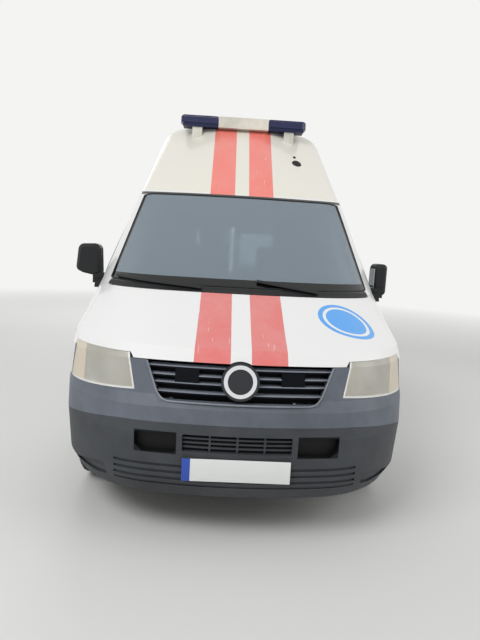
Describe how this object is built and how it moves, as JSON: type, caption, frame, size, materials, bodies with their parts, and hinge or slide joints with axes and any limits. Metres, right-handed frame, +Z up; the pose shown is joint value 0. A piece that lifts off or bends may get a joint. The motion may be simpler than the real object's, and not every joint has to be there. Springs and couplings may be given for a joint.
{
  "type": "ambulance van",
  "caption": "High-roofed panel van ambulance with cab seats, bulkhead, patient bay, light bar, opening doors and bonnet, and steered front wheels",
  "frame": {"origin": "on the ground under the middle of the overall length, on the middle plane", "axes": "+X to the vehicle's left, -Y forwards, +Z up"},
  "size_m": [2.1397, 5.2884, 2.528],
  "materials": {
    "body_paint": "white gloss paint",
    "roof_paint": "off-white gloss moulding",
    "window_glass": "clear grey",
    "black_plastic": "grained",
    "dark_plastic": "grained",
    "bright_trim": "bright",
    "grey_plastic": "blue-grey, grained",
    "bumper_plastic": "dark grey, grained",
    "lamp_housing": "bright reflector",
    "lamp_lens": "hazed clear",
    "tail_lens": "red, moulded",
    "sign_plastic": "cream",
    "beacon_lens": "deep blue, moulded",
    "inner_trim": "light grey",
    "seat_cloth": "woven dark grey",
    "cast_metal": "as cast",
    "bare_steel": "dull",
    "chassis_paint": "black",
    "wheel_paint": "silver",
    "tyre": "matt"
  },
  "bodies": {
    "root": {"body_shell": "body_paint", "high_roof": "roof_paint", "front_wings": "body_paint", "sliding_door": "body_paint", "side_windows": "window_glass", "windscreen": "window_glass", "cowl": "black_plastic", "wipers": "black_plastic", "grille": "dark_plastic", "grille_badge": "bright_trim", "grille_panel": "grey_plastic", "front_bumper": "bumper_plastic", "rear_bumper": "bumper_plastic", "headlamp_housings": "lamp_housing", "headlamp_lenses": "lamp_lens", "tail_lamps": "tail_lens", "light_bar": "sign_plastic", "light_bar_domes": "beacon_lens", "bulkhead": "inner_trim", "dashboard": "dark_plastic", "seats": "seat_cloth", "engine": "cast_metal", "fuel_tank": "dark_plastic", "exhaust": "bare_steel", "front_subframe": "chassis_paint", "rear_axle": "chassis_paint", "underframe": "chassis_paint", "floor_pan": "body_paint", "roof_aerial": "black_plastic"},
    "bonnet": {"bonnet": "body_paint"},
    "front_door_left": {"front_door_left": "body_paint", "front_door_left_glass": "window_glass", "mirror_left": "black_plastic"},
    "front_door_right": {"front_door_right": "body_paint", "front_door_right_glass": "window_glass", "mirror_right": "black_plastic"},
    "rear_door_left": {"rear_door_left": "body_paint", "rear_door_left_glass": "window_glass"},
    "rear_door_right": {"rear_door_right": "body_paint", "rear_door_right_glass": "window_glass"},
    "steering_wheel": {"steering_wheel": "dark_plastic"},
    "knuckle_left": {"knuckle_left": "cast_metal"},
    "knuckle_right": {"knuckle_right": "cast_metal"},
    "wheel_front_left": {"wheel_front_left": "wheel_paint", "tyre_front_left": "tyre"},
    "wheel_front_right": {"wheel_front_right": "wheel_paint", "tyre_front_right": "tyre"},
    "wheel_rear_left": {"wheel_rear_left": "wheel_paint", "tyre_rear_left": "tyre"},
    "wheel_rear_right": {"wheel_rear_right": "wheel_paint", "tyre_rear_right": "tyre"}
  },
  "joints": [
    {"name": "bonnet_hinge", "type": "hinge", "parent": "root", "child": "bonnet", "pos_m": [0, -1.715, 1.2], "axis": [-1, 0, 0], "range_deg": [0, 50]},
    {"name": "front_door_left_hinge", "type": "hinge", "parent": "root", "child": "front_door_left", "pos_m": [0.958, -1.549, 0.7], "axis": [0.0436, 0, -0.999], "range_deg": [0, 65]},
    {"name": "front_door_right_hinge", "type": "hinge", "parent": "root", "child": "front_door_right", "pos_m": [-0.958, -1.549, 0.7], "axis": [0.0436, 0, 0.999], "range_deg": [0, 65]},
    {"name": "rear_door_left_hinge", "type": "hinge", "parent": "root", "child": "rear_door_left", "pos_m": [0.773, 2.596, 1.205], "axis": [0, 0.0495, -0.9988], "range_deg": [0, 180]},
    {"name": "rear_door_right_hinge", "type": "hinge", "parent": "root", "child": "rear_door_right", "pos_m": [-0.773, 2.596, 1.205], "axis": [0, -0.0495, 0.9988], "range_deg": [0, 180]},
    {"name": "steer_left", "type": "hinge", "parent": "root", "child": "knuckle_left", "pos_m": [0.735, -1.751, 0.186], "axis": [-0.1585, 0, 0.9874], "range_deg": [-35, 35]},
    {"name": "steer_right", "type": "hinge", "parent": "root", "child": "knuckle_right", "pos_m": [-0.735, -1.751, 0.186], "axis": [0.1585, 0, 0.9874], "range_deg": [-35, 35]},
    {"name": "steering_wheel_turn", "type": "hinge", "parent": "root", "child": "steering_wheel", "pos_m": [0.4, -1.253, 1.13], "axis": [0, 0.8191, 0.5736], "range_deg": [-540, 540]},
    {"name": "front_left_roll", "type": "hinge", "parent": "knuckle_left", "child": "wheel_front_left", "pos_m": [0.814, -1.751, 0.3365], "axis": [1, 0, 0], "continuous": true},
    {"name": "front_right_roll", "type": "hinge", "parent": "knuckle_right", "child": "wheel_front_right", "pos_m": [-0.814, -1.751, 0.3365], "axis": [1, 0, 0], "continuous": true},
    {"name": "rear_left_roll", "type": "hinge", "parent": "root", "child": "wheel_rear_left", "pos_m": [0.814, 1.649, 0.3365], "axis": [1, 0, 0], "continuous": true},
    {"name": "rear_right_roll", "type": "hinge", "parent": "root", "child": "wheel_rear_right", "pos_m": [-0.814, 1.649, 0.3365], "axis": [1, 0, 0], "continuous": true}
  ],
  "couplings": [
    {"joint": "steer_right", "follows": "steer_left", "ratio": 1},
    {"joint": "steering_wheel_turn", "follows": "steer_left", "ratio": 15.42}
  ]
}
